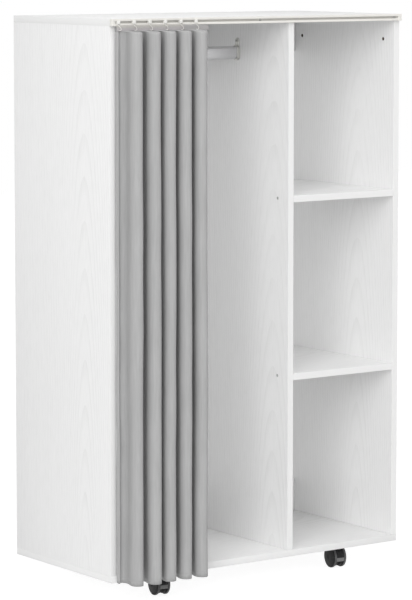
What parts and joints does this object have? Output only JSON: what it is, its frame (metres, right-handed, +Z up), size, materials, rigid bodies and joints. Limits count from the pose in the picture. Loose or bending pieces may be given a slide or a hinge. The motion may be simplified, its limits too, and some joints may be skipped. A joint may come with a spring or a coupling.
{
  "type": "curtain wardrobe",
  "caption": "Upright open-back wardrobe on swivel castors, with a hanging rail bay, a shelf bay and a curtain that slides on a front track.",
  "frame": {"origin": "on the floor, under the middle of the whole object's box", "axes": "+Z up, -Y towards the open front where the curtain hangs, +X to the right seen from the front"},
  "size_m": [0.8, 0.4478, 1.28],
  "materials": {
    "white_board": "white melamine board with an embossed wood grain, satin",
    "rail_chrome": "chromed oval tube",
    "bracket_grey": "grey die-cast metal",
    "zinc_steel": "zinc-plated steel",
    "track_plastic": "white plastic",
    "curtain_cloth": "grey non-woven or woven cloth, matt",
    "castor_wheel": "black nylon",
    "castor_housing": "black nylon"
  },
  "bodies": {
    "root": {"bottom_panel": "white_board", "centre_divider": "white_board", "curtain": "curtain_cloth", "curtain_track": "track_plastic", "front_left_castor_plate": "zinc_steel", "front_right_castor_plate": "zinc_steel", "glider_1": "track_plastic", "hanging_rail": "rail_chrome", "left_bottom_back_rail": "white_board", "left_bracket_screw": "zinc_steel", "left_rail_bracket": "bracket_grey", "left_side_panel": "white_board", "left_top_back_rail": "white_board", "left_track_end_cap": "track_plastic", "lower_shelf": "white_board", "lower_shelf_screw_divider_front": "zinc_steel", "lower_shelf_screw_divider_rear": "zinc_steel", "lower_shelf_screw_side_front": "zinc_steel", "lower_shelf_screw_side_rear": "zinc_steel", "rear_left_castor_plate": "zinc_steel", "rear_right_castor_plate": "zinc_steel", "right_bottom_back_rail": "white_board", "right_bracket_screw": "zinc_steel", "right_rail_bracket": "bracket_grey", "right_side_panel": "white_board", "right_top_back_rail": "white_board", "right_track_end_cap": "track_plastic", "top_panel": "white_board", "track_screw_left": "zinc_steel", "track_screw_middle": "zinc_steel", "track_screw_right": "zinc_steel", "upper_shelf": "white_board", "upper_shelf_screw_divider_front": "zinc_steel", "upper_shelf_screw_divider_rear": "zinc_steel", "upper_shelf_screw_side_front": "zinc_steel", "upper_shelf_screw_side_rear": "zinc_steel"},
    "glider_2_body": {"glider_2": "track_plastic"},
    "glider_3_body": {"glider_3": "track_plastic"},
    "glider_4_body": {"glider_4": "track_plastic"},
    "glider_5_body": {"glider_5": "track_plastic"},
    "lead_glider_body": {"glider_6": "track_plastic"},
    "front_left_castor_body": {"front_left_castor_housing": "castor_housing", "front_left_castor_axle": "zinc_steel"},
    "front_left_castor_left_wheel_body": {"front_left_castor_left_wheel": "castor_wheel"},
    "front_left_castor_right_wheel_body": {"front_left_castor_right_wheel": "castor_wheel"},
    "front_right_castor_body": {"front_right_castor_housing": "castor_housing", "front_right_castor_axle": "zinc_steel"},
    "front_right_castor_left_wheel_body": {"front_right_castor_left_wheel": "castor_wheel"},
    "front_right_castor_right_wheel_body": {"front_right_castor_right_wheel": "castor_wheel"},
    "rear_left_castor_body": {"rear_left_castor_housing": "castor_housing", "rear_left_castor_axle": "zinc_steel"},
    "rear_left_castor_left_wheel_body": {"rear_left_castor_left_wheel": "castor_wheel"},
    "rear_left_castor_right_wheel_body": {"rear_left_castor_right_wheel": "castor_wheel"},
    "rear_right_castor_body": {"rear_right_castor_housing": "castor_housing", "rear_right_castor_axle": "zinc_steel"},
    "rear_right_castor_left_wheel_body": {"rear_right_castor_left_wheel": "castor_wheel"},
    "rear_right_castor_right_wheel_body": {"rear_right_castor_right_wheel": "castor_wheel"}
  },
  "joints": [
    {"name": "curtain_slide", "type": "slide", "parent": "root", "child": "lead_glider_body", "axis": [1, 0, 0], "range_m": [0, 0.47], "deforming": ["curtain"]},
    {"name": "glider_2_slide", "type": "slide", "parent": "root", "child": "glider_2_body", "axis": [1, 0, 0], "range_m": [0, 0.04888]},
    {"name": "glider_3_slide", "type": "slide", "parent": "root", "child": "glider_3_body", "axis": [1, 0, 0], "range_m": [0, 0.16544]},
    {"name": "glider_4_slide", "type": "slide", "parent": "root", "child": "glider_4_body", "axis": [1, 0, 0], "range_m": [0, 0.30456]},
    {"name": "glider_5_slide", "type": "slide", "parent": "root", "child": "glider_5_body", "axis": [1, 0, 0], "range_m": [0, 0.42112]},
    {"name": "front_left_castor_swivel", "type": "hinge", "parent": "root", "child": "front_left_castor_body", "pos_m": [-0.236, -0.11414, 0.02528], "axis": [0, 0, 1], "continuous": true},
    {"name": "front_left_castor_left_wheel_spin", "type": "hinge", "parent": "front_left_castor_body", "child": "front_left_castor_left_wheel_body", "pos_m": [-0.23503, -0.1062, 0.02528], "axis": [0.9925, -0.1219, 0], "continuous": true},
    {"name": "front_left_castor_right_wheel_spin", "type": "hinge", "parent": "front_left_castor_body", "child": "front_left_castor_right_wheel_body", "pos_m": [-0.23503, -0.1062, 0.02528], "axis": [0.9925, -0.1219, 0], "continuous": true},
    {"name": "front_right_castor_swivel", "type": "hinge", "parent": "root", "child": "front_right_castor_body", "pos_m": [0.262, -0.11414, 0.02528], "axis": [0, 0, 1], "continuous": true},
    {"name": "front_right_castor_left_wheel_spin", "type": "hinge", "parent": "front_right_castor_body", "child": "front_right_castor_left_wheel_body", "pos_m": [0.26298, -0.1062, 0.02528], "axis": [0.9925, -0.1219, 0], "continuous": true},
    {"name": "front_right_castor_right_wheel_spin", "type": "hinge", "parent": "front_right_castor_body", "child": "front_right_castor_right_wheel_body", "pos_m": [0.26298, -0.1062, 0.02528], "axis": [0.9925, -0.1219, 0], "continuous": true},
    {"name": "rear_left_castor_swivel", "type": "hinge", "parent": "root", "child": "rear_left_castor_body", "pos_m": [-0.236, 0.17686, 0.02528], "axis": [0, 0, 1], "continuous": true},
    {"name": "rear_left_castor_left_wheel_spin", "type": "hinge", "parent": "rear_left_castor_body", "child": "rear_left_castor_left_wheel_body", "pos_m": [-0.23503, 0.1848, 0.02528], "axis": [0.9925, -0.1219, 0], "continuous": true},
    {"name": "rear_left_castor_right_wheel_spin", "type": "hinge", "parent": "rear_left_castor_body", "child": "rear_left_castor_right_wheel_body", "pos_m": [-0.23503, 0.1848, 0.02528], "axis": [0.9925, -0.1219, 0], "continuous": true},
    {"name": "rear_right_castor_swivel", "type": "hinge", "parent": "root", "child": "rear_right_castor_body", "pos_m": [0.262, 0.17686, 0.02528], "axis": [0, 0, 1], "continuous": true},
    {"name": "rear_right_castor_left_wheel_spin", "type": "hinge", "parent": "rear_right_castor_body", "child": "rear_right_castor_left_wheel_body", "pos_m": [0.26298, 0.1848, 0.02528], "axis": [0.9925, -0.1219, 0], "continuous": true},
    {"name": "rear_right_castor_right_wheel_spin", "type": "hinge", "parent": "rear_right_castor_body", "child": "rear_right_castor_right_wheel_body", "pos_m": [0.26298, 0.1848, 0.02528], "axis": [0.9925, -0.1219, 0], "continuous": true}
  ],
  "couplings": [
    {"joint": "glider_2_slide", "follows": "curtain_slide", "ratio": 0.104},
    {"joint": "glider_3_slide", "follows": "curtain_slide", "ratio": 0.352},
    {"joint": "glider_4_slide", "follows": "curtain_slide", "ratio": 0.648},
    {"joint": "glider_5_slide", "follows": "curtain_slide", "ratio": 0.896}
  ]
}
